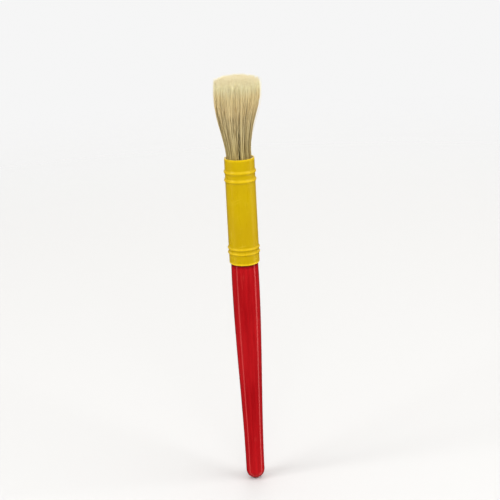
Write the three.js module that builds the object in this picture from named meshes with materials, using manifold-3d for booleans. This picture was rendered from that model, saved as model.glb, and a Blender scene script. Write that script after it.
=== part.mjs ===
// A round hog bristle paint brush for children: a chubby lacquered wooden handle, a long
// moulded plastic ferrule with two pairs of ring beads, and a full tuft that flares from
// the ferrule's mouth. The bristles are set in a plug of resin inside the ferrule, and the
// handle's tenon is glued into the ferrule from behind.
//
// Millimetres. The brush's axis is +Z with the bristles up, and the origin is the lowest
// point of the round butt.

import * as THREE from "three";
import { mergeVertices } from "three/addons/utils/BufferGeometryUtils.js";
import Module from "manifold-3d";

// ---- Handle -------------------------------------------------------------------------
const HANDLE_LENGTH = 106.5; // butt to shoulder, the part of the handle that shows
const BUTT_DIAMETER = 8.5; // the butt is a half sphere
const BELLY_SWELL = 0.15; // the thickest place, a little below the ferrule, over the shoulder
const BELLY_TO_SHOULDER = 11;
const SHOULDER_LEDGE = 0.25; // how far the shoulder reaches out past the ferrule's bore
const SHOULDER_ROUND = 0.15; // edge radius under the lacquer
const TENON_LENGTH = 21;
const TENON_CHAMFER = 0.6;
const GLUE_GROOVE_DEPTH = 0.3;
const GLUE_GROOVE_WIDTH = 1.4;
const GLUE_GROOVE_PITCH = 6; // shoulder to first groove, and groove to groove
const GLUE_GROOVE_COUNT = 2;
const TENON_CLEARANCE = 0.12; // radial room for glue

// ---- Ferrule ------------------------------------------------------------------------
const FERRULE_LENGTH = 47.6;
const MOUTH_DIAMETER = 13.2; // outside, at the lip
const MOULDING_DRAFT = 0.2; // how much wider the outside is at the rear rim
const WALL = 0.85; // at the lip
const LIP_ROUND = 0.3;
const RIM_ROUND = 0.45;
const BEAD_PROUD = 0.45;
const FRONT_BEAD_WIDTH = 1.8;
const FRONT_BEAD_PITCH = 3.7;
const FRONT_BEAD_INSET = 6; // lip to the middle of the nearest bead
const REAR_BEAD_WIDTH = 1.3;
const REAR_BEAD_PITCH = 2.15;
const REAR_BEAD_INSET = 5.1; // rear rim to the middle of the nearest bead
const STOP_WIDTH = 1.75; // the flange inside that keeps resin and tenon apart
const STOP_THICKNESS = 1.5;
const STOP_TO_TENON = 0.5;

// ---- Resin plug ---------------------------------------------------------------------
const RESIN_DEPTH = 8;
const RESIN_FLOOR = 1; // resin under the bristle roots
const RESIN_RIM = 0.35; // resin round the outermost roots
const RESIN_CLEARANCE = 0.1;
const SOCKET_CLEARANCE = 0.08;

// ---- Tuft ---------------------------------------------------------------------------
const TUFT_LENGTH = 35.9; // lip to the top of the crown
const CROWN_DIAMETER = 22;
const FLARE_LENGTH = 32; // lip to where the tuft is widest
const CROWN_DOME = 1.2; // how much lower the outermost locks end
const CROWN_UNEVENNESS = 1; // the most that a lock ends below its place in the dome
const LOCK_RINGS = 3; // rings of locks round the middle one
const LOCKS_PER_RING = 6; // in the first ring; the second has twice as many, and so on
const LOCK_GAP = 0.32; // between neighbouring locks, all the way up
const MOUTH_CLEARANCE = 0.06; // bristles to bore at the lip
const TIP_START = 0.8; // share of a lock's free length where its tip begins to round
const TIP_BLUNTNESS = 0.45; // width of a lock's tip as a share of the lock

// ---- Smoothness ---------------------------------------------------------------------
const ROUND_SEGMENTS = 40; // facets round the axis on every turned surface
const BUTT_STEPS = 7;
const TAPER_STEPS = 9;
const BELLY_STEPS = 3;
const EDGE_STEPS = 2;
const BEAD_STEPS = 6;
const LOCK_SIDES = 8;
const LOCK_STEPS = 7;

// ---- Heights and radii that several pieces share --------------------------------------
const LIP_Z = HANDLE_LENGTH + FERRULE_LENGTH;
const BORE_RADIUS = MOUTH_DIAMETER / 2 - WALL;
const SHOULDER_RADIUS = BORE_RADIUS + SHOULDER_LEDGE;
const STOP_BOTTOM = TENON_LENGTH + STOP_TO_TENON; // above the ferrule's rear rim
const STOP_TOP = STOP_BOTTOM + STOP_THICKNESS;
const RESIN_Z = HANDLE_LENGTH + STOP_TOP;
const ROOT_Z = RESIN_Z + RESIN_FLOOR;
const RESIN_TOP_Z = RESIN_Z + RESIN_DEPTH;
const ROOT_RADIUS = BORE_RADIUS - RESIN_CLEARANCE - RESIN_RIM;
const MOUTH_RADIUS = BORE_RADIUS - MOUTH_CLEARANCE;

const wasm = await Module();
wasm.setup();

const brush = new THREE.Group();

const lacquer = { color: 0xb5141a, roughness: 0.15, metalness: 0 };
const yellowPlastic = { color: 0xd6b20f, roughness: 0.4, metalness: 0 };
const amberResin = { color: 0xb98a3c, roughness: 0.3, metalness: 0 };
const hogBristle = { color: 0xd8c48f, roughness: 0.8, metalness: 0 };

function addPiece(name, geometry, finish, z = 0) {
  const mesh = new THREE.Mesh(geometry, new THREE.MeshStandardMaterial(finish));
  mesh.name = name;
  mesh.position.z = z;
  brush.add(mesh);
}

// A profile of (radius, height) points turned about the brush's axis.
function turned(profile) {
  const geometry = new THREE.LatheGeometry(profile, ROUND_SEGMENTS);
  return geometry.rotateX(Math.PI / 2);
}

// Points on a circular arc in the profile plane, both ends included.
function arc(radius, height, arcRadius, fromDegrees, toDegrees, steps) {
  const points = [];
  for (let i = 0; i <= steps; i += 1) {
    const turn = THREE.MathUtils.degToRad(
      THREE.MathUtils.lerp(fromDegrees, toDegrees, i / steps),
    );
    const across = radius + arcRadius * Math.cos(turn);
    const up = height + arcRadius * Math.sin(turn);
    points.push(new THREE.Vector2(Math.max(across, 0), up));
  }
  return points;
}

// ---- The turned wooden handle ---------------------------------------------------------
// Butt, long taper with upright tangents at both ends, belly, rounded shoulder, and a
// tenon with glue grooves and a chamfered end.
function handleProfile() {
  const buttRadius = BUTT_DIAMETER / 2;
  const bellyRadius = SHOULDER_RADIUS + BELLY_SWELL;
  const bellyZ = HANDLE_LENGTH - BELLY_TO_SHOULDER;
  const third = (bellyZ - buttRadius) / 3;
  const taper = new THREE.CubicBezierCurve(
    new THREE.Vector2(buttRadius, buttRadius),
    new THREE.Vector2(buttRadius, buttRadius + third),
    new THREE.Vector2(bellyRadius, bellyZ - third),
    new THREE.Vector2(bellyRadius, bellyZ),
  );
  const edgeZ = HANDLE_LENGTH - SHOULDER_ROUND;
  const belly = new THREE.QuadraticBezierCurve(
    new THREE.Vector2(bellyRadius, bellyZ),
    new THREE.Vector2(bellyRadius, (bellyZ + edgeZ) / 2),
    new THREE.Vector2(SHOULDER_RADIUS, edgeZ),
  );
  const edgeRadius = SHOULDER_RADIUS - SHOULDER_ROUND;
  return [
    ...arc(0, buttRadius, buttRadius, -90, 0, BUTT_STEPS),
    ...taper.getPoints(TAPER_STEPS).slice(1),
    ...belly.getPoints(BELLY_STEPS).slice(1),
    ...arc(edgeRadius, edgeZ, SHOULDER_ROUND, 0, 90, EDGE_STEPS).slice(1),
    ...tenonProfile(),
  ];
}

function tenonProfile() {
  const radius = BORE_RADIUS - TENON_CLEARANCE;
  const grooveRadius = radius - GLUE_GROOVE_DEPTH;
  const top = HANDLE_LENGTH + TENON_LENGTH;
  const points = [new THREE.Vector2(radius, HANDLE_LENGTH)];
  for (let i = 1; i <= GLUE_GROOVE_COUNT; i += 1) {
    const middle = HANDLE_LENGTH + i * GLUE_GROOVE_PITCH;
    const half = GLUE_GROOVE_WIDTH / 2;
    points.push(new THREE.Vector2(radius, middle - half));
    points.push(new THREE.Vector2(grooveRadius, middle - half + GLUE_GROOVE_DEPTH));
    points.push(new THREE.Vector2(grooveRadius, middle + half - GLUE_GROOVE_DEPTH));
    points.push(new THREE.Vector2(radius, middle + half));
  }
  points.push(new THREE.Vector2(radius, top - TENON_CHAMFER));
  points.push(new THREE.Vector2(radius - TENON_CHAMFER, top));
  points.push(new THREE.Vector2(0, top));
  return points;
}

addPiece("handle", turned(handleProfile()), lacquer);

// ---- The moulded ferrule --------------------------------------------------------------
// Heights here are above the ferrule's own rear rim, which sits on the handle's shoulder.
function ferruleOuterRadius(height) {
  const shareBelowLip = 1 - height / FERRULE_LENGTH;
  return (MOUTH_DIAMETER + MOULDING_DRAFT * shareBelowLip) / 2;
}

// A ring bead: an arc of a circle that stands BEAD_PROUD out of the barrel.
function bead(middle, width) {
  const half = width / 2;
  const beadRadius = (half * half + BEAD_PROUD * BEAD_PROUD) / (2 * BEAD_PROUD);
  const reach = THREE.MathUtils.radToDeg(Math.asin(half / beadRadius));
  const centre = ferruleOuterRadius(middle) + BEAD_PROUD - beadRadius;
  return arc(centre, middle, beadRadius, -reach, reach, BEAD_STEPS);
}

function ferruleProfile() {
  const rimRadius = ferruleOuterRadius(0) - RIM_ROUND;
  const lipZ = FERRULE_LENGTH - LIP_ROUND;
  const lipOuter = ferruleOuterRadius(FERRULE_LENGTH) - LIP_ROUND;
  const lipInner = BORE_RADIUS + LIP_ROUND;
  const stopRadius = BORE_RADIUS - STOP_WIDTH;
  const frontBead = FERRULE_LENGTH - FRONT_BEAD_INSET;
  return [
    new THREE.Vector2(BORE_RADIUS, 0),
    ...arc(rimRadius, RIM_ROUND, RIM_ROUND, -90, 0, EDGE_STEPS),
    ...bead(REAR_BEAD_INSET, REAR_BEAD_WIDTH),
    ...bead(REAR_BEAD_INSET + REAR_BEAD_PITCH, REAR_BEAD_WIDTH),
    ...bead(frontBead - FRONT_BEAD_PITCH, FRONT_BEAD_WIDTH),
    ...bead(frontBead, FRONT_BEAD_WIDTH),
    ...arc(lipOuter, lipZ, LIP_ROUND, 0, 90, EDGE_STEPS),
    ...arc(lipInner, lipZ, LIP_ROUND, 90, 180, EDGE_STEPS),
    new THREE.Vector2(BORE_RADIUS, STOP_TOP),
    new THREE.Vector2(stopRadius, STOP_TOP),
    new THREE.Vector2(stopRadius, STOP_BOTTOM),
    new THREE.Vector2(BORE_RADIUS, STOP_BOTTOM),
    new THREE.Vector2(BORE_RADIUS, 0),
  ];
}

addPiece("ferrule", turned(ferruleProfile()), yellowPlastic, HANDLE_LENGTH);

// ---- The tuft's flow ------------------------------------------------------------------
// Radius of the whole tuft at a height: gathered in the resin, opening a little to fill
// the mouth, then flaring along a smooth S to the crown.
function tuftRadius(z) {
  if (z <= LIP_Z) {
    const share = Math.max(z - RESIN_TOP_Z, 0) / (LIP_Z - RESIN_TOP_Z);
    return THREE.MathUtils.lerp(ROOT_RADIUS, MOUTH_RADIUS, share);
  }
  const share = THREE.MathUtils.smoothstep(z, LIP_Z, LIP_Z + FLARE_LENGTH);
  return THREE.MathUtils.lerp(MOUTH_RADIUS, CROWN_DIAMETER / 2, share);
}

// The locks fill a disc of radius 1 in rings. Each lock's cell is its place in that disc:
// its middle as a share of the tuft's radius, its bearing, and its half widths.
const RING_PITCH = 1 / (LOCK_RINGS + 0.5);

function lockCells() {
  const cells = [{ ring: 0, share: 0, bearing: 0, halfTurn: Math.PI }];
  for (let ring = 1; ring <= LOCK_RINGS; ring += 1) {
    const count = ring * LOCKS_PER_RING;
    for (let i = 0; i < count; i += 1) {
      cells.push({
        ring,
        share: ring * RING_PITCH,
        bearing: ((i + ring / 2) / count) * 2 * Math.PI,
        halfTurn: Math.PI / count,
      });
    }
  }
  return cells;
}

// A point of a lock's outline at a height. Across and along are the outline's own
// coordinates, each -1 to 1: across the ring and along it. The gap is taken off all round.
function lockPoint(cell, across, along, z, gap) {
  const radius = tuftRadius(z);
  const halfWidth = (RING_PITCH * radius - gap) / 2;
  if (cell.ring === 0) {
    return new THREE.Vector3(halfWidth * across, halfWidth * along, z);
  }
  const middle = cell.share * radius;
  const out = middle + halfWidth * across;
  const bearing = cell.bearing + (cell.halfTurn - gap / 2 / middle) * along;
  return new THREE.Vector3(out * Math.cos(bearing), out * Math.sin(bearing), z);
}

// A circle's point moved out towards a square's, so that a lock fills its cell but keeps
// soft corners.
function squared(value) {
  return Math.sign(value) * Math.sqrt(Math.abs(value));
}

// A closed column through a cell: a unit cylinder whose points are moved to the outline at
// each row's height and width. The middle lock stays round.
function column(cell, rows, gap) {
  const geometry = new THREE.CylinderGeometry(1, 1, 1, LOCK_SIDES, rows.length - 1);
  geometry.rotateX(Math.PI / 2);
  geometry.rotateZ(Math.PI / LOCK_SIDES);
  const position = geometry.attributes.position;
  for (let i = 0; i < position.count; i += 1) {
    const row = rows[Math.round((position.getZ(i) + 0.5) * (rows.length - 1))];
    const shape = cell.ring === 0 ? (value) => value : squared;
    const across = shape(position.getX(i)) * row.width;
    const along = shape(position.getY(i)) * row.width;
    const point = lockPoint(cell, across, along, row.z, gap);
    position.setXYZ(i, point.x, point.y, point.z);
  }
  return geometry;
}

// ---- The resin plug, with a socket for every lock -------------------------------------
function solidOf(geometry) {
  const bare = geometry.clone();
  bare.deleteAttribute("normal");
  bare.deleteAttribute("uv");
  const merged = mergeVertices(bare, 1e-4);
  const vertProperties = new Float32Array(merged.attributes.position.array);
  const triVerts = new Uint32Array(merged.index.array);
  return new wasm.Manifold(new wasm.Mesh({ numProp: 3, vertProperties, triVerts }));
}

function geometryOf(solid) {
  const mesh = solid.getMesh();
  const geometry = new THREE.BufferGeometry();
  geometry.setAttribute("position", new THREE.BufferAttribute(mesh.vertProperties, 3));
  geometry.setIndex(new THREE.BufferAttribute(mesh.triVerts, 1));
  geometry.computeVertexNormals();
  return geometry;
}

function resinPlug(cells) {
  const radius = BORE_RADIUS - RESIN_CLEARANCE;
  const disc = turned([
    new THREE.Vector2(0, RESIN_Z),
    new THREE.Vector2(radius, RESIN_Z),
    new THREE.Vector2(radius, RESIN_TOP_Z),
    new THREE.Vector2(0, RESIN_TOP_Z),
  ]);
  let plug = solidOf(disc);
  const rows = [
    { z: ROOT_Z, width: 1 },
    { z: RESIN_TOP_Z + RESIN_FLOOR, width: 1 },
  ];
  for (const cell of cells) {
    const socket = column(cell, rows, LOCK_GAP - 2 * SOCKET_CLEARANCE);
    plug = plug.subtract(solidOf(socket));
  }
  return geometryOf(plug);
}

const cells = lockCells();
addPiece("resin_plug", resinPlug(cells), amberResin);

// ---- The locks of bristle -------------------------------------------------------------
// Rows run from the root on its socket's floor, past the resin and the lip, to the tip.
// They lie closer together towards the tip, which rounds off to a blunt end.
function lockRows(tipZ) {
  const rows = [
    { z: ROOT_Z, width: 1 },
    { z: RESIN_TOP_Z, width: 1 },
  ];
  for (let i = 0; i <= LOCK_STEPS; i += 1) {
    const share = 1 - (1 - i / LOCK_STEPS) ** 1.5;
    const rounding = Math.max(share - TIP_START, 0) / (1 - TIP_START);
    const width = Math.sqrt(1 - rounding ** 2 * (1 - TIP_BLUNTNESS ** 2));
    rows.push({ z: THREE.MathUtils.lerp(LIP_Z, tipZ, share), width });
  }
  return rows;
}

// An even scatter of shares from 0 to 1, the same on every build: steps of the golden ratio.
function scatter(index) {
  return (index * (Math.sqrt(5) - 1) / 2) % 1;
}

cells.forEach((cell, index) => {
  const dome = CROWN_DOME * (cell.ring / LOCK_RINGS) ** 2;
  const tipZ = LIP_Z + TUFT_LENGTH - dome - CROWN_UNEVENNESS * scatter(index);
  const number = String(index + 1).padStart(2, "0");
  addPiece(`bristle_lock_${number}`, column(cell, lockRows(tipZ), LOCK_GAP), hogBristle);
});

export default brush;
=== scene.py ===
"""A round hog bristle paint brush for children: the gloss of its dipped handle, the soft
shine of its moulded ferrule, and its tuft bristle by bristle.

Shapes are worked out in millimetres about the brush's axis, which is +Z with the bristles
up, and become metres as they are put into meshes. Bearings run round the axis from +X, so
the front is at -90 degrees. A share runs from 0 to 1.
"""

import math

import bpy
import numpy as np
from mathutils import Matrix, Vector


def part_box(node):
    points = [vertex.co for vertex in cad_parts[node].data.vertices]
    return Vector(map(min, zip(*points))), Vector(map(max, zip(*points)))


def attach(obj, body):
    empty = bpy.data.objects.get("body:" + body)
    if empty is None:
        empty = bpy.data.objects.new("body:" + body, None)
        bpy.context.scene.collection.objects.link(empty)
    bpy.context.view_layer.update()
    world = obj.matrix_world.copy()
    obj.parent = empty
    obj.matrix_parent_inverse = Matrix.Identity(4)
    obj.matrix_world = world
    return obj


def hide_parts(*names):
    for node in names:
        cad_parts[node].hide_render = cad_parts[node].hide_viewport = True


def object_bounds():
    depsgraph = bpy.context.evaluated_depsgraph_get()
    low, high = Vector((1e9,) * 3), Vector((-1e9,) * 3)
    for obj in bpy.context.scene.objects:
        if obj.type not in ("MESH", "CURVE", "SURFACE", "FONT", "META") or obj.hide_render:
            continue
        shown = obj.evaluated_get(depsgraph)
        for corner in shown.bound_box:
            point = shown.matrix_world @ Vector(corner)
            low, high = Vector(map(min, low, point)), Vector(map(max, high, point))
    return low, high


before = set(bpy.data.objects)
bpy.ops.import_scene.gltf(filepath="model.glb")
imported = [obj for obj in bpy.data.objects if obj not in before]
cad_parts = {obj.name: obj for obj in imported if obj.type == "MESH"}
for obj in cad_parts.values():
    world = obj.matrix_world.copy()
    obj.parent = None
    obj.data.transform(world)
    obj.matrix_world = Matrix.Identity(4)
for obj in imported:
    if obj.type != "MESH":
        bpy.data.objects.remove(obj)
cad_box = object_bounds()

MM = 0.001
FULL_TURN = 2 * math.pi

# ---- Places that the frame sets, in millimetres ---------------------------------------
HANDLE_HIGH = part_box("handle")[1] / MM
FERRULE_LOW, FERRULE_HIGH = (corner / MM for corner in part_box("ferrule"))
RESIN_LOW, RESIN_HIGH = (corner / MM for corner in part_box("resin_plug"))
CROWN_HIGH = cad_box[1] / MM

SHOULDER_Z = FERRULE_LOW.z
LIP_Z = FERRULE_HIGH.z
TENON_TOP_Z = HANDLE_HIGH.z
STOP_Z = RESIN_LOW.z
BELLY_RADIUS = HANDLE_HIGH.x
RESIN_CLEARANCE = 0.1
BORE_RADIUS = RESIN_HIGH.x + RESIN_CLEARANCE

# ---- Handle ---------------------------------------------------------------------------
HANDLE_SEGMENTS = 160
BUTT_RADIUS = 4.25
BELLY_TO_SHOULDER = 11
SHOULDER_LEDGE = 0.25  # how far the shoulder reaches out past the ferrule's bore
SHOULDER_RADIUS = BORE_RADIUS + SHOULDER_LEDGE
SHOULDER_ROUND = 0.15
TENON_CLEARANCE = 0.12
TENON_CHAMFER = 0.6
GLUE_GROOVE_DEPTH = 0.3
GLUE_GROOVE_WIDTH = 1.4
GLUE_GROOVE_PITCH = 6
GLUE_GROOVE_COUNT = 2
# The lacquer's slow waves, short ones that wander round the handle and long ones
SAG_DEPTH = 0.012
SHORT_WAVE, LONG_WAVE = 5.3, 11  # height to a radian
SHORT_WAVE_WANDER = 1.3
SHORT_WAVE_TURN = 0.4
SAG_FADE = 6  # distance from the butt and the shoulder over which they die out
SINK_MARK_DEPTH = 0.05
SINK_MARK_SIZE = 0.8
SINK_MARK_BELOW = 7
SINK_MARK_BEARING = math.radians(-52)
# Painted shade under the ferrule's rim thickens between two distances below the
# shoulder, and the butt's knocks from its widest down to a height near its end
RIM_SHADE_BELOW = (1.9, 0.3)
RIM_SHADE_STRENGTH = 0.8
KNOCKED_MOST = 0.4

# ---- Ferrule --------------------------------------------------------------------------
FERRULE_SEGMENTS = 192
FERRULE_STEP = 0.8  # longest step of its profile
FERRULE_LENGTH = LIP_Z - SHOULDER_Z
WALL = 0.85
MOULDING_DRAFT = 0.2
LIP_ROUND = 0.3
RIM_ROUND = 0.45
ROUND_STEPS = 6
BEAD_STEPS = 24
BEAD_PROUD = 0.45
BEAD_FULLNESS = 0.8  # under 1 makes a bead's crown fuller than a raised cosine
BEAD_REACH = 0.62  # from a bead's middle to its fillet's end, as a share of its width
FRONT_BEAD_WIDTH = 1.8
FRONT_BEAD_PITCH = 3.7
FRONT_BEAD_INSET = 6
REAR_BEAD_WIDTH = 1.3
REAR_BEAD_PITCH = 2.15
REAR_BEAD_INSET = 5.1
STOP_WIDTH = 1.75
STOP_THICKNESS = 1.5
# Painted highlight on bead crests and lip, as a share of the rear rim's whole one
CREST_HIGHLIGHT = 0.4
LIP_HIGHLIGHT = 0.4
BARREL_WAVE_DEPTH = 0.02
BARREL_WAVES_ROUND = 3
BARREL_WAVE_HEIGHT = 9  # to a radian
PARTING_LINE_DEPTH = 0.03
PARTING_LINE_WIDTH = 0.12

# ---- Tuft -----------------------------------------------------------------------------
LOCK_RINGS = 3
LOCKS_PER_RING = 6
BRISTLES_PER_LOCK = 170
OFF_PLACE = 0.012  # how far a bristle is off its even place, as a share of the radius
ROOT_THICKNESS = 0.16
TIP_THICKNESS = 0.06
THINNING = 1.5  # power of the height with which bristles thin
GIRTHS = (0.75, 1.3)  # from thin to stout bristles, as shares of those thicknesses
ROOT_IN_RESIN = 1.2
ROOT_INSET = 0.5
MOUTH_GAP = 0.12
TUFT_LENGTH = CROWN_HIGH.z - LIP_Z
FLARE_LENGTH = 28
CROWN_RADIUS = 9.85
CROWN_DOME = 0.7
TIP_CURL = 0.35  # how far the flared bristles curve back in towards their tips
CURL_START = 0.7  # share of the tuft's length
BOW_LEFT = 0.45  # how far the tuft's middle bows sideways low down
BOW_HEIGHT = 26
LEAN_RIGHT = 0.5  # and leans the other way at the crown
LEAN_START = 0.6  # share of the bow's height
GOLDEN_RATIO = (math.sqrt(5) - 1) / 2
GOLDEN_ANGLE = math.pi * (3 - math.sqrt(5))

# Heights at which a bristle's course is set, as shares of its length above the lip
ROWS = np.array([-0.06, 0.03, 0.1, 0.2, 0.31, 0.43, 0.56, 0.69, 0.81, 0.91, 0.97])
UP = np.clip(ROWS, 0, 1)
# A bristle's levels, from its root in the resin up, and its points
ALONG = np.concatenate([[0], UP])
LEVELS = len(ALONG)
SHAFT_POINTS = 3 * LEVELS
SPIKE_POINTS = 4
BRISTLE_POINTS = SHAFT_POINTS + 2 * SPIKE_POINTS

# Strands are fine bundles of about seven bristles, and tresses are a dozen strands each
BUNDLE_SEED = 1903
STRAND_COUNT = 900
STRAND_DRIFT = 0.12
STRAND_TONES = 0.26
STRAND_SHORTER = 0.55
STRAND_DEEPER = 0.095
TRESS_COUNT = 75
TRESS_DRIFT = 0.13
TRESS_TONES = 0.08
BUNDLE_SHIFT = 0.35  # how far a bundle is off its even place, as a share of their pitch
# How closely bristles cling to their strand, and strands to their tress, up the tuft
CLING = np.interp(UP, [0, 0.35, 0.7, 1], [0.7, 0.6, 0.22, 0.03])
GATHER = np.interp(UP, [0, 0.3, 0.6, 1], [0.05, 0.05, 0.03, 0])
# And how much of its own depth each strand has there, which makes ridges and hollows
HOLLOW = np.interp(UP, [0, 0.12, 0.5, 0.8, 1], [0.5, 1, 0.8, 0.22, 0.05])

# Most bristles cling closely, and loose ones stray from their strand and drift further
CLOSE_CLING = (0.7, 1.15)
LOOSE_CLING = (0, 0.3)
LOOSE_SHARE = 0.25
BRISTLE_DRIFT = 0.22
LOOSE_DRIFTS_MORE = 2.6
DRIFT_LIKENESS = 2.0  # the higher, the more alike drifts are in size
DRIFT_WAVES = (0.6, 1.5)  # half turns of a drift's wave over the length
DRIFT_GROWTH = 1.2  # power of the height
BRISTLE_TONE = 0.83
BRISTLE_TONES = 0.3

# How much shorter than the tuft bristles are by chance, at the crown's edge and if snapped
BRISTLE_SHORTER = 0.4
EDGE_START = 0.7  # share of the way out
EDGE_SHORTER = (0, 2)
SNAPPED_SHARE = 0.06
SNAPPED_SHORTER = (0.5, 5)

# Partings where the bristles open: bearing in degrees, half width and height in mm
PARTINGS = [
    (-84, 0.5, 18), (-118, 0.12, 9), (-63, 0.12, 10), (-150, 0.15, 10), (-20, 0.15, 9),
    (30, 0.2, 12), (75, 0.15, 9), (110, 0.2, 13), (160, 0.15, 9),
]
PARTING_WAVER = 2  # degrees
PARTING_WAVE = 2.7  # height to a radian
PARTING_DEPTH = (0.15, 0.8)  # from closed to open, as shares of the way out
PARTING_REACH = 0.9  # how far beside it bristles give way
PARTING_CLOSING = 0.6  # power of the share of its height still above

# A split tip's two spikes: their reach as a share of the course's last step, their splay in
# mm, and how far they start below the shaft's end and how thick
SPIKE_REACH = (0.35, 0.6)
SPIKE_SPLAY = (0.04, 0.16)
SPIKE_SUNK = 0.12
SPIKE_GIRTH = 0.75

# A bristle's strip of the map that the tuft's colours are baked to, in shares of the strip
STRIP_ROWS = 4
STRIP_MARGIN = 0.04
SHAFT_TOP = 0.9
SPIKE_FOOT = 0.92
END_WIDTH = 0.2
END_HEIGHT = 0.02

# ---- Floor, light and camera, in metres, degrees and watts ----------------------------
FLOOR_RADIUS = 4
FLOOR_SEGMENTS = 64
FLOOR_GREY = (0.6, 0.6, 0.6, 1)
BOUNCE_FADE = (0.6, FLOOR_RADIUS)  # from where to where the floor stops bouncing light
SEEN_FADE = (0.3, 1.0)  # and from where to where it is lost to sight

BACKDROP_WHITE = (0.92, 0.92, 0.92, 1)
DAYLIGHT = (1.0, 0.985, 0.96, 1)
# The ceiling brightens between two sines of the elevation, and a share of it is left from
# front and back round to the sides, between two squares of the way's X
CEILING_SINES, CEILING_LIGHT = (-0.35, 0.7), (0.05, 1.05)
SIDE_SQUARES, SIDE_SHARES = (0.45, 1.0), (1.0, 0.1)
PANELS = [(-164, 1.5), (-2, 2.1)]  # bearing and strength of each tall panel
PANEL_HALF_WIDTH = 4
PANEL_SOFTNESS = 3.5

SOFTBOX_SIZE = 0.7
SOFTBOX_AIM = (0, 0, 0.1)
SOFTBOXES = [
    ("front_softbox", (0.1, -1.15, 0.9), 4),
    ("left_softbox", (-1.05, -0.5, 0.8), 7),
    ("right_softbox", (1.05, -0.5, 0.8), 7.5),
    ("back_softbox", (0.1, 1.2, 0.9), 4),
]

CAMERA_PLACE = (0, -0.5074, 0.2712)
CAMERA_DOWN, CAMERA_YAW, CAMERA_ROLL = 17.44, 0.30, -2.93
LENS_MM, SENSOR_MM = 86.4, 36
NEAREST_SEEN = 0.01


# ---- Meshes ---------------------------------------------------------------------------
def new_piece(name, points, quads, triangles, finish, slot, stands_for):
    """A piece from points in millimetres and its faces, which rides on the brush's one body
    and stands for a node of the frame."""
    mesh = bpy.data.meshes.new(name)
    corners = np.concatenate([quads.ravel(), triangles.ravel()]).astype(np.int32)
    sides = np.concatenate([np.full(len(quads), 4), np.full(len(triangles), 3)])
    starts = np.concatenate([[0], np.cumsum(sides)[:-1]])
    mesh.vertices.add(len(points))
    mesh.vertices.foreach_set("co", (points * MM).astype(np.float32).ravel())
    mesh.loops.add(len(corners))
    mesh.loops.foreach_set("vertex_index", corners)
    mesh.polygons.add(len(sides))
    mesh.polygons.foreach_set("loop_start", starts.astype(np.int32))
    mesh.polygons.foreach_set("use_smooth", np.ones(len(sides), bool))
    mesh.update(calc_edges=True)
    mesh.validate()
    mesh.materials.append(finish)
    piece = bpy.data.objects.new(name, mesh)
    bpy.context.scene.collection.objects.link(piece)
    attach(piece, "root")
    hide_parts(stands_for)
    return piece


def point_values(piece, name, values):
    """Stores a value at every point of a piece, for its finish to read."""
    attribute = piece.data.attributes.new(name, "FLOAT", "POINT")
    attribute.data.foreach_set("value", values.astype(np.float32))


def smoothstep(low, high, value):
    """0 below low, 1 above high, and 3 s^2 - 2 s^3 of the share s between them."""
    share = np.clip((value - low) / (high - low), 0, 1)
    return share * share * (3 - 2 * share)


def on_circle(turn):
    """Cosine and sine of angles in radians, side by side on a new last axis."""
    return np.stack([np.cos(turn), np.sin(turn)], axis=-1)


def on_level_circle(turn):
    """Cosine, sine and a height of 0, in the same way."""
    return np.stack([np.cos(turn), np.sin(turn), 0 * turn], axis=-1)


def arc(radius, height, size, start, end, steps):
    """Part of a circle in the profile plane: its middle at (radius, height), plus its size
    times the cosine and sine of angles spread evenly from start to end, in degrees."""
    turn = np.radians(np.linspace(start, end, steps + 1))
    return [radius, height] + size * on_circle(turn)


def bezier(*corners, steps):
    """A Bezier curve: at each share, the corner points weighted by the binomial terms of
    share and 1 less share."""
    share = np.linspace(0, 1, steps + 1)[:, None]
    degree = len(corners) - 1
    return sum(
        math.comb(degree, k) * share**k * (1 - share) ** (degree - k) * np.array(corner)
        for k, corner in enumerate(corners)
    )


def closer(profile, pitch):
    """The same profile with more points: each straight stretch is cut into equal steps no
    longer than the pitch, and every corner stays."""
    steps = np.diff(profile, axis=0)
    counts = np.maximum(np.ceil(np.hypot(*steps.T) / pitch), 1).astype(int)
    first = np.repeat(np.arange(len(steps)), counts)
    within = np.arange(counts.sum()) - np.repeat(np.cumsum(counts) - counts, counts)
    points = profile[first] + steps[first] * (within / counts[first])[:, None]
    return np.vstack([points, profile[-1]])


def turned(name, profile, relief, segments, painted_highlight=None, **piece):
    """A surface of revolution: each profile point (radius, height) is carried round the
    axis, its radius less the relief at that turn and height. A profile that ends where it
    starts is joined to itself, and any other starts and ends at a pole on the axis. The
    painted highlight says how much paler each profile point is coloured, as painted light
    on crests and rims."""
    ring_shaped = np.allclose(profile[0], profile[-1])
    rows = profile[:-1] if ring_shaped else profile[1:-1]
    turn = np.arange(segments) / segments * FULL_TURN
    radius, height = rows[:, :1], rows[:, 1:]
    radius = radius - relief(turn, height)
    points = np.stack(
        np.broadcast_arrays(radius * np.cos(turn), radius * np.sin(turn), height), axis=-1
    ).reshape(-1, 3)
    index = np.arange(len(points)).reshape(len(rows), segments)
    above = np.roll(index, -1, axis=0)
    if not ring_shaped:
        index, above = index[:-1], above[:-1]
    quads = np.stack(
        [index, np.roll(index, -1, 1), np.roll(above, -1, 1), above], axis=-1
    ).reshape(-1, 4)
    triangles = np.empty((0, 3), int)
    if not ring_shaped:
        low, high = len(points), len(points) + 1
        points = np.vstack([points, [0, 0, profile[0, 1]], [0, 0, profile[-1, 1]]])
        first, last = index[0], above[-1]
        triangles = np.vstack([
            np.stack([np.roll(first, -1), first, np.full(segments, low)], axis=1),
            np.stack([last, np.roll(last, -1), np.full(segments, high)], axis=1),
        ])
    made = new_piece(name, points, quads, triangles, **piece)
    if painted_highlight is not None:
        share = np.repeat(painted_highlight[:-1] if ring_shaped else painted_highlight[1:-1], segments)
        share = share if ring_shaped else np.append(share, [painted_highlight[0], painted_highlight[-1]])
        point_values(made, "painted_highlight", share)


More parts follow.
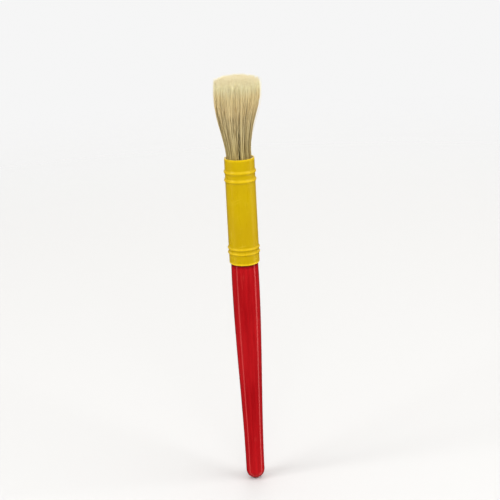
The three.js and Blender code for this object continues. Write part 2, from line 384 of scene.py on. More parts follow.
# ---- Node trees -----------------------------------------------------------------------
def fill(tree, socket, feed):
    """Feeds a socket from an output or with a plain value, and leaves it alone for None."""
    if isinstance(feed, bpy.types.NodeSocket):
        tree.links.new(feed, socket)
    elif feed is not None:
        socket.default_value = feed


def node(tree, kind, *feeds, **settings):
    """A new node with its settings, its sockets fed in order."""
    made = tree.nodes.new("ShaderNode" + kind)
    for name, value in settings.items():
        setattr(made, name, value)
    for socket, feed in zip(made.inputs, feeds):
        fill(tree, socket, feed)
    return made


def maths(tree, operation, *feeds):
    """One step of arithmetic."""
    return node(tree, "Math", *feeds, operation=operation).outputs[0]


def weighted(tree, *terms):
    """The sum of values, each times its weight."""
    total = 0.0
    for value, weight in terms:
        total = maths(tree, "MULTIPLY_ADD", value, weight, total)
    return total


def spread(tree, value, low, high, to_low=0.0, to_high=1.0, way="LINEAR"):
    """Maps low..high to to_low..to_high, held at the ends."""
    ends = (low, high, to_low, to_high)
    return node(tree, "MapRange", value, *ends, interpolation_type=way).outputs[0]


def eased(tree, value, low, high, to_low=0.0, to_high=1.0):
    """The same on a smoothstep."""
    return spread(tree, value, low, high, to_low, to_high, "SMOOTHSTEP")


def object_place(tree):
    """Object coordinates, in metres."""
    return node(tree, "TexCoord").outputs["Object"]


def stored(tree, name):
    """A value that point_values has stored on the piece."""
    return node(tree, "Attribute", attribute_name=name).outputs["Fac"]


def noise(tree, scale, detail=2.0, stretch=(1, 1, 1), roughness=0.5, tilt=0.0):
    """Noise on Object coordinates, with features about 1 / scale metres across, made longer
    along an axis by a stretch under 1, and tilted first by an angle in degrees about both X
    and Y. Gives a value of about 0.5 either way."""
    tilted = node(tree, "Mapping", object_place(tree))
    tilted.inputs["Rotation"].default_value = (math.radians(tilt), math.radians(tilt), 0)
    laid = node(tree, "Mapping", tilted.outputs[0])
    laid.inputs["Scale"].default_value = stretch
    made = node(tree, "TexNoise", laid.outputs[0])
    made.inputs["Scale"].default_value = scale
    made.inputs["Detail"].default_value = detail
    made.inputs["Roughness"].default_value = roughness
    return made.outputs["Fac"]


def hairlines(tree, scale, stretch, tilt=0.0):
    """Thin short scratches: the crests of a noise drawn out one way, kept in patches."""
    drawn_out = noise(tree, scale, stretch=stretch, roughness=0.6, tilt=tilt)
    lines = spread(tree, drawn_out, 0.62, 0.7)
    patches = spread(tree, noise(tree, scale=160), 0.48, 0.6)
    return maths(tree, "MULTIPLY", lines, patches)


def linear(red, green, blue):
    """A colour given as it looks on a screen, 0 to 255, as the light it stands for: each
    share to the power 2.4 once raised by 0.055, or a straight line when very dark."""
    shown = np.array([red, green, blue]) / 255
    light = np.where(shown <= 0.04045, shown / 12.92, ((shown + 0.055) / 1.055) ** 2.4)
    return (*light, 1)


def blended(tree, share, one, other, way="MIX"):
    """One colour moved towards the other by a share."""
    mix = tree.nodes.new("ShaderNodeMix")
    mix.data_type = "RGBA"
    mix.blend_type = way
    fill(tree, mix.inputs["Factor"], share)
    fill(tree, mix.inputs[6], one)
    fill(tree, mix.inputs[7], other)
    return mix.outputs[2]


def new_finish(name, **constants):
    """A material with its Principled shader's constants set, its tree and that shader."""
    finish = bpy.data.materials.new(name)
    finish.use_nodes = True
    shader = finish.node_tree.nodes["Principled BSDF"]
    for socket, value in constants.items():
        shader.inputs[socket.replace("_", " ")].default_value = value
    return finish, finish.node_tree, shader


def feed_shader(tree, shader, colour, roughness, relief, strength, depth):
    """Feeds the shader its colour, its roughness and bumps from a relief, whose full height
    is the depth in metres."""
    bump = node(tree, "Bump")
    bump.inputs["Strength"].default_value = strength
    bump.inputs["Distance"].default_value = depth
    fill(tree, bump.inputs["Height"], relief)
    fill(tree, shader.inputs["Base Color"], colour)
    fill(tree, shader.inputs["Roughness"], roughness)
    fill(tree, shader.inputs["Normal"], bump.outputs[0])


# ---- Finishes -------------------------------------------------------------------------
def gloss_lacquer():
    """Red enamel dipped over turned wood: deep, even colour that thins a little in patches
    and along the grain, a warm gloss with faint orange peel and grain ripple, hairline rubs,
    a dull scuffed butt, and painted shade close under the ferrule's rim, where its shadow
    falls."""
    deep_red, thin_red = linear(156, 8, 16), linear(184, 19, 26)
    rim_shade_red, rubbed_red = linear(84, 4, 6), linear(196, 62, 56)
    finish, tree, shader = new_finish(
        "gloss_red_lacquer", IOR=1.5, Specular_IOR_Level=0.9,
        Specular_Tint=(1, 0.28, 0.24, 1), Coat_Weight=0.12, Coat_Roughness=0.04,
    )
    patches = noise(tree, scale=90, detail=3, stretch=(1, 1, 0.35))
    grain = noise(tree, scale=900, detail=3, stretch=(1, 1, 0.035), roughness=0.6)
    thinness = weighted(tree, (patches, 0.6), (grain, 0.6))
    colour = blended(tree, spread(tree, thinness, 0.44, 0.76), deep_red, thin_red)

    height = node(tree, "SeparateXYZ", object_place(tree)).outputs["Z"]
    # Painted shade: the lacquer is darkened just under the ferrule's rim, where its shadow
    # falls
    rim_shade_start, rim_shade_end = ((SHOULDER_Z - below) * MM for below in RIM_SHADE_BELOW)
    rim_shade = spread(tree, height, rim_shade_start, rim_shade_end, to_high=RIM_SHADE_STRENGTH)
    colour = blended(tree, rim_shade, colour, rim_shade_red)

    near_butt = spread(tree, height, BUTT_RADIUS * MM, KNOCKED_MOST * MM)
    dents = spread(tree, noise(tree, scale=900, detail=3), 0.45, 0.6)
    knocks = maths(tree, "MULTIPLY", near_butt, dents)
    rubs = hairlines(tree, scale=700, stretch=(1, 1, 0.05))
    worn = weighted(tree, (rubs, 0.35), (knocks, 0.5))
    colour = blended(tree, worn, colour, rubbed_red)

    gloss = spread(tree, patches, 0.35, 0.7, to_low=0.12, to_high=0.21)
    roughness = weighted(tree, (gloss, 1), (worn, 0.35))
    peel = noise(tree, scale=700)
    relief = weighted(tree, (peel, 1), (grain, 0.5))
    feed_shader(tree, shader, colour, roughness, relief, strength=0.12, depth=0.0001)
    return finish


def moulded_yellow():
    """Yellow polypropylene: slightly clouded colour, satin shine with fine flow marks, a
    skin that is not quite flat, scuffs round and along it, and painted highlights on bead
    crests and rims, paler in places."""
    warm_yellow, bright_yellow = linear(183, 148, 2), linear(192, 161, 1)
    highlight_yellow, scuffed_yellow = linear(238, 200, 26), linear(222, 192, 70)
    finish, tree, shader = new_finish(
        "moulded_yellow_plastic", IOR=1.49, Specular_IOR_Level=0.45,
        Specular_Tint=(1, 0.85, 0.2, 1),
    )
    clouds = noise(tree, scale=70, detail=3, stretch=(1, 1, 0.5))
    colour = blended(tree, spread(tree, clouds, 0.3, 0.7), warm_yellow, bright_yellow)

    # Painted highlight: bead crests, lip and rear rim are coloured paler where light would
    # catch them
    in_places = spread(tree, noise(tree, scale=380, detail=3), 0.3, 0.6, to_low=0.6)
    painted_highlight = maths(tree, "MULTIPLY", stored(tree, "painted_highlight"), in_places)
    colour = blended(tree, painted_highlight, colour, highlight_yellow)

    round_it = hairlines(tree, scale=1500, stretch=(0.06, 0.06, 1), tilt=14)
    along_it = hairlines(tree, scale=1100, stretch=(1, 1, 0.05), tilt=-5)
    scuffs = maths(tree, "MAXIMUM", round_it, along_it)
    colour = blended(tree, maths(tree, "MULTIPLY", scuffs, 0.32), colour, scuffed_yellow)

    flow = noise(tree, scale=500, detail=3, stretch=(1, 1, 0.2))
    satin = spread(tree, flow, 0.3, 0.7, to_low=0.25, to_high=0.35)
    roughness = weighted(tree, (satin, 1), (scuffs, 0.2))
    skin = noise(tree, scale=260, detail=3)
    relief = weighted(tree, (skin, 1), (flow, 0.3))
    feed_shader(tree, shader, colour, roughness, relief, strength=0.2, depth=0.00015)
    return finish


def amber_resin():
    """Set resin: dark amber, glassy, wavy on top."""
    dark_amber, clear_amber = linear(150, 100, 40), linear(196, 150, 78)
    finish, tree, shader = new_finish("amber_setting_resin", IOR=1.55)
    clouds = noise(tree, scale=300, detail=3)
    colour = blended(tree, clouds, dark_amber, clear_amber)
    roughness = spread(tree, clouds, 0.3, 0.7, to_low=0.15, to_high=0.35)
    feed_shader(tree, shader, colour, roughness, clouds, strength=0.3, depth=0.0003)
    return finish


def hog_bristle():
    """Bleached hog bristle: straw at the root, paler and creamier up to the split tip, with
    painted shade darkening the lower tuft and painted light brightening its upper part,
    each bristle with a tone of its own from tan to near white, and finely speckled."""
    # Painted shade and light: besides the bristle's own straw to cream, the ramp darkens the
    # root, where the tuft is in shade, and brightens the upper tuft, where the light falls
    shaded_straw, split_tip = linear(202, 183, 119), linear(238, 227, 190)
    bleach_shade_and_light = [
        (0.25, linear(220, 203, 148)), (0.5, linear(230, 212, 160)),
        (0.65, linear(245, 225, 171)), (0.8, linear(252, 235, 182)),
        (0.93, linear(255, 249, 210)),
    ]
    root_tan, tip_tan = linear(176, 158, 130), linear(240, 235, 223)
    finish, tree, shader = new_finish(
        "bleached_hog_bristle", IOR=1.45, Specular_IOR_Level=0.4
    )
    along = stored(tree, "along")
    bleach_shade_light_ramp = node(tree, "ValToRGB", along)
    stops = bleach_shade_light_ramp.color_ramp.elements
    stops[0].color, stops[1].color = shaded_straw, split_tip
    for share, colour in bleach_shade_and_light:
        stops.new(share).color = colour
    pale = bleach_shade_light_ramp.outputs["Color"]

    tanning = blended(tree, maths(tree, "POWER", along, 2.0), root_tan, tip_tan)
    tan = blended(tree, 1.0, pale, tanning, "MULTIPLY")
    streaks = noise(tree, scale=1100, stretch=(1, 1, 0.12))
    streaks = spread(tree, streaks, 0.3, 0.7, to_low=-0.45, to_high=0.45)
    paleness = maths(tree, "ADD", stored(tree, "tone"), streaks)
    paleness.node.use_clamp = True
    colour = blended(tree, paleness, tan, pale)

    speckle = noise(tree, scale=2500, stretch=(1, 1, 0.2))
    roughness = spread(tree, speckle, 0.3, 0.7, to_low=0.45, to_high=0.6)
    feed_shader(tree, shader, colour, roughness, speckle, strength=0.1, depth=0.00002)
    return finish


# ---- Handle ---------------------------------------------------------------------------
def tenon_profile():
    """Up the tenon past its glue grooves, whose walls lean at 45 degrees, and in over its
    chamfered end."""
    radius = BORE_RADIUS - TENON_CLEARANCE
    groove = radius - GLUE_GROOVE_DEPTH
    half = GLUE_GROOVE_WIDTH / 2
    points = [(radius, SHOULDER_Z)]
    for k in range(1, GLUE_GROOVE_COUNT + 1):
        middle = SHOULDER_Z + k * GLUE_GROOVE_PITCH
        points += [
            (radius, middle - half),
            (groove, middle - half + GLUE_GROOVE_DEPTH),
            (groove, middle + half - GLUE_GROOVE_DEPTH),
            (radius, middle + half),
        ]
    points += [(radius, TENON_TOP_Z - TENON_CHAMFER)]
    points += [(radius - TENON_CHAMFER, TENON_TOP_Z), (0, TENON_TOP_Z)]
    return np.array(points)


def handle_profile():
    """Butt as a quarter circle, a long taper upright at both ends, a belly that draws in to
    the shoulder, the shoulder's rounded edge, then the tenon."""
    belly_z = SHOULDER_Z - BELLY_TO_SHOULDER
    edge_z = SHOULDER_Z - SHOULDER_ROUND
    third = (belly_z - BUTT_RADIUS) / 3
    butt = arc(0, BUTT_RADIUS, BUTT_RADIUS, -90, 0, steps=24)
    taper = bezier(
        (BUTT_RADIUS, BUTT_RADIUS),
        (BUTT_RADIUS, BUTT_RADIUS + third),
        (BELLY_RADIUS, belly_z - third),
        (BELLY_RADIUS, belly_z),
        steps=150,
    )
    belly = bezier(
        (BELLY_RADIUS, belly_z),
        (BELLY_RADIUS, (belly_z + edge_z) / 2),
        (SHOULDER_RADIUS, edge_z),
        steps=16,
    )
    edge = arc(SHOULDER_RADIUS - SHOULDER_ROUND, edge_z, SHOULDER_ROUND, 0, 90, steps=4)
    return np.vstack([butt, taper[1:], belly[1:], edge[1:], tenon_profile()])


def lacquer_sag(turn, height):
    """How far the dipped skin lies inside the true turned form: the product of a short sine
    of the height, which wanders round the handle, and a long one, and a shallow sink mark a
    little below the shoulder, the exponential of minus the squared distance from it."""
    wandering = SHORT_WAVE_WANDER * np.sin(turn + SHORT_WAVE_TURN)
    waves = np.sin(height / SHORT_WAVE + wandering) * np.sin(height / LONG_WAVE + turn)
    aside = (turn - SINK_MARK_BEARING + np.pi) % FULL_TURN - np.pi
    aside = aside * BELLY_RADIUS / SINK_MARK_SIZE
    below = (SHOULDER_Z - SINK_MARK_BELOW - height) / SINK_MARK_SIZE
    sag = SAG_DEPTH * (1 + waves) / 2 + SINK_MARK_DEPTH * np.exp(-(aside**2) - below**2)
    return sag * smoothstep(0, SAG_FADE, np.minimum(SHOULDER_Z - height, height))


# ---- Ferrule --------------------------------------------------------------------------
def barrel_radius(height):
    """Outside radius at a height above the rear rim: the mouth's, plus the draft's share."""
    return BORE_RADIUS + WALL + MOULDING_DRAFT / 2 * (1 - height / FERRULE_LENGTH)


def bead(middle, width):
    """A ring bead from fillet to fillet over its crown: it stands proud of the barrel by a
    raised cosine to the power of its fullness."""
    across = np.linspace(-1, 1, BEAD_STEPS + 1)
    rise = BEAD_PROUD * ((1 + np.cos(np.pi * across)) / 2) ** BEAD_FULLNESS
    height = middle + across * width * BEAD_REACH
    return np.stack([barrel_radius(height) + rise, height], axis=1)


def ferrule_profile():
    """Up the outside over collar, rear beads, barrel and front beads, over the rounded lip,
    then down the bore past the stop flange to the rear rim."""
    front = FERRULE_LENGTH - FRONT_BEAD_INSET
    lip = FERRULE_LENGTH - LIP_ROUND
    lip_out, lip_in = barrel_radius(FERRULE_LENGTH) - LIP_ROUND, BORE_RADIUS + LIP_ROUND
    stop = BORE_RADIUS - STOP_WIDTH
    stop_top = STOP_Z - SHOULDER_Z
    profile = np.vstack([
        [[BORE_RADIUS, 0]],
        arc(barrel_radius(0) - RIM_ROUND, RIM_ROUND, RIM_ROUND, -90, 0, ROUND_STEPS),
        bead(REAR_BEAD_INSET, REAR_BEAD_WIDTH),
        bead(REAR_BEAD_INSET + REAR_BEAD_PITCH, REAR_BEAD_WIDTH),
        bead(front - FRONT_BEAD_PITCH, FRONT_BEAD_WIDTH),
        bead(front, FRONT_BEAD_WIDTH),
        arc(lip_out, lip, LIP_ROUND, 0, 90, ROUND_STEPS),
        arc(lip_in, lip, LIP_ROUND, 90, 180, ROUND_STEPS),
        [[BORE_RADIUS, stop_top], [stop, stop_top]],
        [[stop, stop_top - STOP_THICKNESS], [BORE_RADIUS, stop_top - STOP_THICKNESS]],
        [[BORE_RADIUS, 0]],
    ])
    return closer(profile, FERRULE_STEP) + [0, SHOULDER_Z]


def ferrule_highlight(profile):
    """How much painted highlight each profile point gets: outside, it grows with the height
    above the barrel as a share of a bead's, squared, and it is whole on the rear rim and
    less on the lip, each of which it leaves over the rim's rounding."""
    radius, height = profile[:, 0], profile[:, 1] - SHOULDER_Z
    crest = CREST_HIGHLIGHT * np.clip((radius - barrel_radius(height)) / BEAD_PROUD, 0, 1) ** 2
    rear = 1 - smoothstep(RIM_ROUND, 2 * RIM_ROUND, height)
    lip = LIP_HIGHLIGHT * (1 - smoothstep(RIM_ROUND, 2 * RIM_ROUND, FERRULE_LENGTH - height))
    outside = radius > BORE_RADIUS + WALL / 2
    return np.where(outside, np.maximum.reduce([crest, rear, lip]), 0)


def moulding_sink(turn, height):
    """How far the plastic has sunk inside the true form: a slow raised sine round and along
    the barrel, and a hairline valley down the mould's parting lines at the two sides, the
    exponential of minus the squared distance from them."""
    waves = (1 + np.sin(BARREL_WAVES_ROUND * turn + height / BARREL_WAVE_HEIGHT)) / 2
    from_parting = np.abs(np.sin(turn)) * BORE_RADIUS
    valley = np.exp(-((from_parting / PARTING_LINE_WIDTH) ** 2))
    return BARREL_WAVE_DEPTH * waves + PARTING_LINE_DEPTH * valley


# ---- Tuft -----------------------------------------------------------------------------
def lock_cells():
    """Each lock's cell of a disc of radius 1: its inner and outer radius, its bearing and
    half the angle it spans. One lock in the middle, then rings of 6, 12 and 18."""
    pitch = 1 / (LOCK_RINGS + 0.5)
    cells = [(0.0, pitch / 2, 0.0, math.pi)]
    for ring in range(1, LOCK_RINGS + 1):
        count = ring * LOCKS_PER_RING
        inner, outer = (ring - 0.5) * pitch, (ring + 0.5) * pitch
        for i in range(count):
            bearing = (i + ring / 2) / count * FULL_TURN
            cells.append((inner, outer, bearing, math.pi / count))
    return cells


def tuft_radius(height):
    """Radius of the tuft at a height above the lip: the mouth's, flaring on a smoothstep to
    the crown's, less the tips' curl on another."""
    mouth = BORE_RADIUS - MOUTH_GAP
    flared = mouth + (CROWN_RADIUS - mouth) * smoothstep(0, FLARE_LENGTH, height)
    return flared - TIP_CURL * smoothstep(CURL_START * TUFT_LENGTH, TUFT_LENGTH, height)


def tuft_lean(height):
    """How far to the right the tuft's middle lies at a height: a half sine that bows it to
    the left low down, and a smoothstep that brings the crown to the right."""
    low = -BOW_LEFT * np.sin(np.pi * np.clip(height / BOW_HEIGHT, 0, 1))
    return low + LEAN_RIGHT * smoothstep(BOW_HEIGHT * LEAN_START, TUFT_LENGTH, height)


def wander(luck, count, size):
    """A slow sideways drift, in mm at each row: a sine of the row with a rate and a start
    of its own, times a power of the row and an amount of its own with the size as its mean,
    along a bearing of its own."""
    amount = luck.gamma(DRIFT_LIKENESS, size / DRIFT_LIKENESS, (count, 1))
    start = luck.uniform(0, FULL_TURN, (count, 1))
    rate = luck.uniform(*DRIFT_WAVES, (count, 1)) * np.pi
    bearing = luck.uniform(0, FULL_TURN, (count, 1))
    reach = amount * UP**DRIFT_GROWTH * (np.sin(UP * rate + start) - np.sin(start))
    return reach[..., None] * on_circle(bearing)


def bundles(luck, count, drift, tones):
    """Bundles that bristles cling together in: their places on a golden angle spiral over
    the disc, each shifted a little, with a drift and a tone of their own."""
    k = np.arange(count) + 0.5
    place = np.sqrt(k / count)[:, None] * on_circle(k * GOLDEN_ANGLE)
    place = place + luck.normal(0, BUNDLE_SHIFT / math.sqrt(count), (count, 2))
    return dict(
        place=place, drift=wander(luck, count, drift), tone=luck.normal(0, tones, count)
    )


def nearest(place, centres):
    """Which centre each place is nearest to."""
    return np.argmin(np.linalg.norm(place[:, None] - centres[None], axis=2), axis=1)


bundle_luck = np.random.default_rng(BUNDLE_SEED)
STRANDS = bundles(bundle_luck, STRAND_COUNT, STRAND_DRIFT, STRAND_TONES)
STRANDS["short"] = np.abs(bundle_luck.normal(0, STRAND_SHORTER, STRAND_COUNT))
STRANDS["depth"] = np.abs(bundle_luck.normal(0, STRAND_DEEPER, STRAND_COUNT))
TRESSES = bundles(bundle_luck, TRESS_COUNT, TRESS_DRIFT, TRESS_TONES)
STRANDS["tress"] = nearest(STRANDS["place"], TRESSES["place"])


def parted(place, height):
    """Moves places in the disc sideways from each parting: by its half width, fading as an
    exponential of the distance from it, on a smoothstep with depth into the tuft, and with
    height. The parting's bearing wavers on a sine of the height."""
    moved = place.copy()
    for bearing, half_width, reach in PARTINGS:
        waver = PARTING_WAVER * np.sin(height / PARTING_WAVE + bearing)
        out = on_circle(np.radians(bearing + waver))
        side = np.stack([-out[..., 1], out[..., 0]], axis=-1)
        across = (place * side).sum(-1) * BORE_RADIUS
        fade = np.exp(-np.abs(across) / PARTING_REACH)
        depth = smoothstep(*PARTING_DEPTH, (place * out).sum(-1))
        open_share = np.clip(1 - height / reach, 0, 1) ** PARTING_CLOSING
        push = half_width * np.sign(across) * fade * depth * open_share
        moved += (push / BORE_RADIUS)[..., None] * side
    return moved


def scattered(luck, cell):
    """Places for a lock's bristles, as many as its cell's area holds: even steps of area
    outwards, and golden ratio steps round, each moved a little."""
    inner, outer, bearing, half_turn = cell
    area = (outer**2 - inner**2) * half_turn
    ring_lock_area = (2 / (LOCK_RINGS + 0.5) ** 2) * math.pi / LOCKS_PER_RING
    count = round(BRISTLES_PER_LOCK * area / ring_lock_area)
    even = (np.arange(count) + 0.5) / count
    golden = (np.arange(count) * GOLDEN_RATIO + luck.random()) % 1
    share = np.sqrt(inner**2 + even * (outer**2 - inner**2))
    share = share + luck.normal(0, OFF_PLACE, count)
    return share[:, None] * on_circle(bearing + (2 * golden - 1) * half_turn)


def free_lengths(luck, place, strand):
    """How far each bristle stands out of the lip: the tuft's length, less the cube of its
    way out times the dome, and less by chance, more at the crown's edge."""
    count = len(place)
    out = np.clip(np.linalg.norm(place, axis=1), 0, 1)
    shorter = np.abs(luck.normal(0, BRISTLE_SHORTER, count)) + STRANDS["short"][strand]
    shorter += smoothstep(EDGE_START, 1, out) * luck.uniform(*EDGE_SHORTER, count)
    snapped = luck.random(count) < SNAPPED_SHARE
    shorter += snapped * luck.uniform(*SNAPPED_SHORTER, count)
    return TUFT_LENGTH - CROWN_DOME * out**3 - shorter


def bristle_courses(luck, place):
    """Each bristle's middle line in mm, from its root in the resin up the tuft's flow, and
    its tone. At each row its place is drawn to its strand and its tress, or strays from them
    if it is loose, is opened by the partings and carried out by the tuft's radius, and then
    drifts."""
    count = len(place)
    strand = nearest(place, STRANDS["place"])
    tress = STRANDS["tress"][strand]
    height = free_lengths(luck, place, strand)[:, None] * ROWS

    loose = luck.random(count) < LOOSE_SHARE
    cling = np.where(
        loose, luck.uniform(*LOOSE_CLING, count), luck.uniform(*CLOSE_CLING, count)
    )
    cling = cling[:, None, None] * CLING[:, None]
    strand_place = STRANDS["place"][strand][:, None]
    tress_place = TRESSES["place"][tress][:, None]
    drawn = place[:, None] + cling * (strand_place - place[:, None])
    drawn = drawn + GATHER[:, None] * (tress_place - strand_place)
    drawn = drawn * (1 - STRANDS["depth"][strand][:, None] * HOLLOW)[..., None]

    across = parted(drawn, height) * tuft_radius(np.clip(height, 0, None))[..., None]
    drift = wander(luck, count, BRISTLE_DRIFT)
    drift = drift * np.where(loose, LOOSE_DRIFTS_MORE, 1)[:, None, None]
    across = across + STRANDS["drift"][strand] + TRESSES["drift"][tress] + drift
    across[..., 0] += tuft_lean(height)
    above = np.concatenate([across, (LIP_Z + height)[..., None]], axis=-1)
    root = np.empty((count, 1, 3))
    root[:, 0, :2] = place * (BORE_RADIUS - ROOT_INSET)
    root[:, 0, 2] = STOP_Z + ROOT_IN_RESIN

    tone = BRISTLE_TONE + STRANDS["tone"][strand] + TRESSES["tone"][tress]
    tone = tone + luck.normal(0, BRISTLE_TONES, count)
    return np.concatenate([root, above], axis=1), np.clip(tone, 0, 1)


def bristle_points(luck, course):
    """Each bristle's points: a triangle round its middle line at every level, which thins
    with a power of the height, and then two spikes that splay from its end."""
    count = len(course)
    girth = luck.uniform(*GIRTHS, (count, 1)) / 2
    size = girth * (ROOT_THICKNESS + (TIP_THICKNESS - ROOT_THICKNESS) * ALONG**THINNING)
    corner = luck.uniform(0, FULL_TURN, (count, 1)) + np.arange(3) * FULL_TURN / 3
    ring = on_level_circle(corner)
    shaft = course[:, :, None] + size[:, :, None, None] * ring[:, None]

    last = course[:, -1] - course[:, -2]
    end = course[:, -1] + last * luck.uniform(*SPIKE_REACH, (count, 1))
    splay = luck.uniform(*SPIKE_SPLAY, (count, 1))
    aside = splay * on_level_circle(luck.uniform(0, FULL_TURN, count))
    foot = (course[:, -1] - SPIKE_SUNK * last)[:, None]
    foot = foot + SPIKE_GIRTH * size[:, -1, None, None] * ring
    spikes = [np.concatenate([foot, (end + way * aside)[:, None]], axis=1) for way in (-1, 1)]
    return np.concatenate([shaft.reshape(count, -1, 3), *spikes], axis=1)


def bristle_faces():
    """One bristle's faces, each corner with its place in the bristle's strip of the baked
    map: a third of the strip's width for each side of the shaft, and half for each spike
    at the strip's end."""
    quads, quad_map, triangles, triangle_map = [], [], [], []
    for level in range(LEVELS - 1):
        low, high = (SHAFT_TOP * row / (LEVELS - 1) for row in (level, level + 1))
        for side in range(3):
            here, there = 3 * level + side, 3 * level + (side + 1) % 3
            quads.append((here, there, there + 3, here + 3))
            left, right = side / 3, (side + 1) / 3
            quad_map.append([(left, low), (right, low), (right, high), (left, high)])

    def close_end(corners, middle, width, height):
        """A small triangle that closes the shaft or a spike, laid about a middle."""
        triangles.append(corners)
        left, right = middle - width / 2, middle + width / 2
        triangle_map.append([(left, height), (right, height), (middle, height + END_HEIGHT)])

    close_end((2, 1, 0), 0.5, END_WIDTH, 0)
    top = SHAFT_POINTS - 3
    close_end((top, top + 1, top + 2), 0.5, END_WIDTH, SHAFT_TOP)
    for spike in range(2):
        foot = SHAFT_POINTS + SPIKE_POINTS * spike
        middle = (spike + 0.5) / 2
        close_end((foot + 2, foot + 1, foot), middle, END_WIDTH / 2, SPIKE_FOOT)
        for side in range(3):
            triangles.append((foot + side, foot + (side + 1) % 3, foot + 3))
            left, right = (spike + side / 3) / 2, (spike + (side + 1) / 3) / 2
            point = ((left + right) / 2, 1)
            triangle_map.append([(left, SPIKE_FOOT), (right, SPIKE_FOOT), point])
    return [np.array(part) for part in (quads, quad_map, triangles, triangle_map)]


def lay_strips(piece, count, quad_map, triangle_map):
    """Fills the piece's bake map: the bristles' strips stand side by side in a few rows,
    each with a little space round it."""
    columns = math.ceil(count / STRIP_ROWS)
    k = np.arange(count)
    corner = np.stack([k % columns / columns, k // columns / STRIP_ROWS], axis=1)
    size = np.array([1 / columns, 1 / STRIP_ROWS])
    parts = []
    for face_map in (quad_map, triangle_map):
        inside = STRIP_MARGIN + (1 - 2 * STRIP_MARGIN) * face_map.reshape(1, -1, 2)
        parts.append((corner[:, None] + inside * size).reshape(-1, 2))
    layer = piece.data.uv_layers.new(name="OFBake")
    layer.uv.foreach_set("vector", np.vstack(parts).astype(np.float32).ravel())


def grow_lock(number, cell, finish):
    """One lock of the tuft, bristle by bristle, which stands for its solid in the frame."""
    luck = np.random.default_rng(number)
    place = scattered(luck, cell)
    count = len(place)
    course, tone = bristle_courses(luck, place)
    points = bristle_points(luck, course)
    quads, quad_map, triangles, triangle_map = bristle_faces()
    starts = np.arange(count)[:, None, None] * BRISTLE_POINTS
    piece = new_piece(
        f"bristles_{number:02d}", points.reshape(-1, 3),
        (starts + quads).reshape(-1, 4), (starts + triangles).reshape(-1, 3),
        finish=finish, slot="hog_bristle", stands_for=f"bristle_lock_{number:02d}",
    )
    lay_strips(piece, count, quad_map, triangle_map)
    along = np.concatenate([np.repeat(ALONG, 3), np.ones(2 * SPIKE_POINTS)])
    point_values(piece, "along", np.tile(along, count))
    point_values(piece, "tone", np.repeat(tone, BRISTLE_POINTS))


# ---- The brush ------------------------------------------------------------------------
turned(
    "lacquered_handle", handle_profile(), lacquer_sag, HANDLE_SEGMENTS,
    finish=gloss_lacquer(), slot="handle_lacquer", stands_for="handle",
)
outline = ferrule_profile()
turned(
    "moulded_ferrule", outline, moulding_sink, FERRULE_SEGMENTS,
    painted_highlight=ferrule_highlight(outline),
    finish=moulded_yellow(), slot="ferrule_plastic", stands_for="ferrule",
)
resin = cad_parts["resin_plug"]
resin.data.materials.clear()
resin.data.materials.append(amber_resin())

bristle = hog_bristle()
for number, cell in enumerate(lock_cells(), start=1):
    grow_lock(number, cell, bristle)


# ---- Floor, light and camera ----------------------------------------------------------
def pale_floor():
    """A wide disc under the brush, which fades out with the distance, and sooner to the eye
    than for the light it bounces, so that it meets the backdrop softly. Gloss doesn't
    mirror it."""
    turn = np.arange(FLOOR_SEGMENTS) / FLOOR_SEGMENTS * FULL_TURN
    points = FLOOR_RADIUS * on_level_circle(turn)
    mesh = bpy.data.meshes.new("floor")
    mesh.from_pydata(points.tolist(), [], [list(range(FLOOR_SEGMENTS))])
    finish, tree, shader = new_finish(
        "pale_floor", Base_Color=FLOOR_GREY, Roughness=1.0, Specular_IOR_Level=0.0
    )
    away = node(tree, "VectorMath", object_place(tree), operation="LENGTH").outputs["Value"]
    looked_at = node(tree, "LightPath").outputs["Is Camera Ray"]
    unseen = maths(tree, "MULTIPLY", eased(tree, away, *SEEN_FADE), looked_at)
    clear = maths(tree, "MAXIMUM", eased(tree, away, *BOUNCE_FADE), unseen)
    open_air = node(tree, "BsdfTransparent").outputs[0]
    faded = node(tree, "MixShader", clear, shader.outputs[0], open_air)
    fill(tree, tree.nodes["Material Output"].inputs["Surface"], faded.outputs[0])
    mesh.materials.append(finish)
    floor = bpy.data.objects.new("floor", mesh)
    floor.visible_glossy = False
    bpy.context.scene.collection.objects.link(floor)


def tall_panel(tree, azimuth, bearing):
    """1 across a panel at a bearing, falling to 0 on a smoothstep at its soft edges."""
    apart = maths(tree, "SUBTRACT", azimuth, math.radians(bearing))
    apart = maths(tree, "ABSOLUTE", maths(tree, "WRAP", apart, math.pi, -math.pi))
    edge = math.radians(PANEL_HALF_WIDTH)
    return eased(tree, apart, edge, edge + math.radians(PANEL_SOFTNESS), 1.0, 0.0)


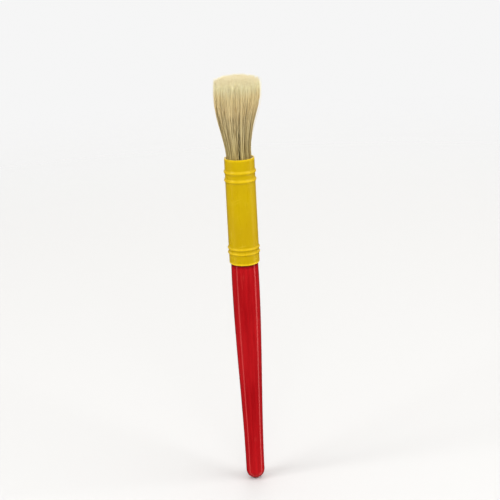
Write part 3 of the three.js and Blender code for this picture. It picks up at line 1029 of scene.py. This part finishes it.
def studio_world():
    """Light from all round: a bright ceiling that fades below the horizon and towards the
    sides, and two tall narrow panels at the left and the right. The camera sees a plain pale
    backdrop."""
    world = bpy.data.worlds.new("studio")
    bpy.context.scene.world = world
    world.use_nodes = True
    tree = world.node_tree
    tree.nodes.clear()
    way = node(tree, "SeparateXYZ", node(tree, "TexCoord").outputs["Generated"])
    x, y, z = way.outputs
    azimuth = maths(tree, "ARCTAN2", y, x)
    panels = weighted(tree, *(
        (tall_panel(tree, azimuth, bearing), strength) for bearing, strength in PANELS
    ))
    ceiling = eased(tree, z, *CEILING_SINES, *CEILING_LIGHT)
    sideways = maths(tree, "MULTIPLY", x, x)
    left_over = eased(tree, sideways, *SIDE_SQUARES, *SIDE_SHARES)
    level = maths(tree, "MULTIPLY_ADD", ceiling, left_over, panels)
    lit = node(tree, "Background", DAYLIGHT, level)
    seen = node(tree, "Background", BACKDROP_WHITE)
    looked_at = node(tree, "LightPath").outputs["Is Camera Ray"]
    mix = node(tree, "MixShader", looked_at, lit.outputs[0], seen.outputs[0])
    node(tree, "OutputWorld", mix.outputs[0])


def softbox(name, place, power):
    """A square lamp at a place, turned to face the brush."""
    lamp = bpy.data.lights.new(name, "AREA")
    lamp.shape = "SQUARE"
    lamp.size = SOFTBOX_SIZE
    lamp.energy = power
    box = bpy.data.objects.new(name, lamp)
    box.location = place
    facing = Vector(SOFTBOX_AIM) - Vector(place)
    box.rotation_euler = facing.to_track_quat("-Z", "Y").to_euler()
    bpy.context.scene.collection.objects.link(box)


def camera():
    """In front of the brush and above it, leaning back a little to its left: the way ahead
    from the sines and cosines of its angles down and aside, the level way across it, what
    stands upright on both, and the last two turned by the roll. Columns of the matrix are
    the view's right and up and the way back."""
    down, yaw, roll = (math.radians(a) for a in (CAMERA_DOWN, CAMERA_YAW, CAMERA_ROLL))
    ahead = Vector((
        math.sin(yaw) * math.cos(down), math.cos(yaw) * math.cos(down), -math.sin(down)
    ))
    level = Vector((math.cos(yaw), -math.sin(yaw), 0))
    upright = level.cross(ahead)
    right = level * math.cos(roll) + upright * math.sin(roll)
    up = upright * math.cos(roll) - level * math.sin(roll)
    optics = bpy.data.cameras.new("camera")
    optics.lens, optics.sensor_width = LENS_MM, SENSOR_MM
    optics.clip_start = NEAREST_SEEN
    made = bpy.data.objects.new("camera", optics)
    turned_to = Matrix((right, up, -ahead)).transposed().to_4x4()
    made.matrix_world = Matrix.Translation(CAMERA_PLACE) @ turned_to
    bpy.context.scene.collection.objects.link(made)
    bpy.context.scene.camera = made


pale_floor()
studio_world()
for lamp in SOFTBOXES:
    softbox(*lamp)
camera()
bpy.context.scene.view_settings.view_transform = "Standard"
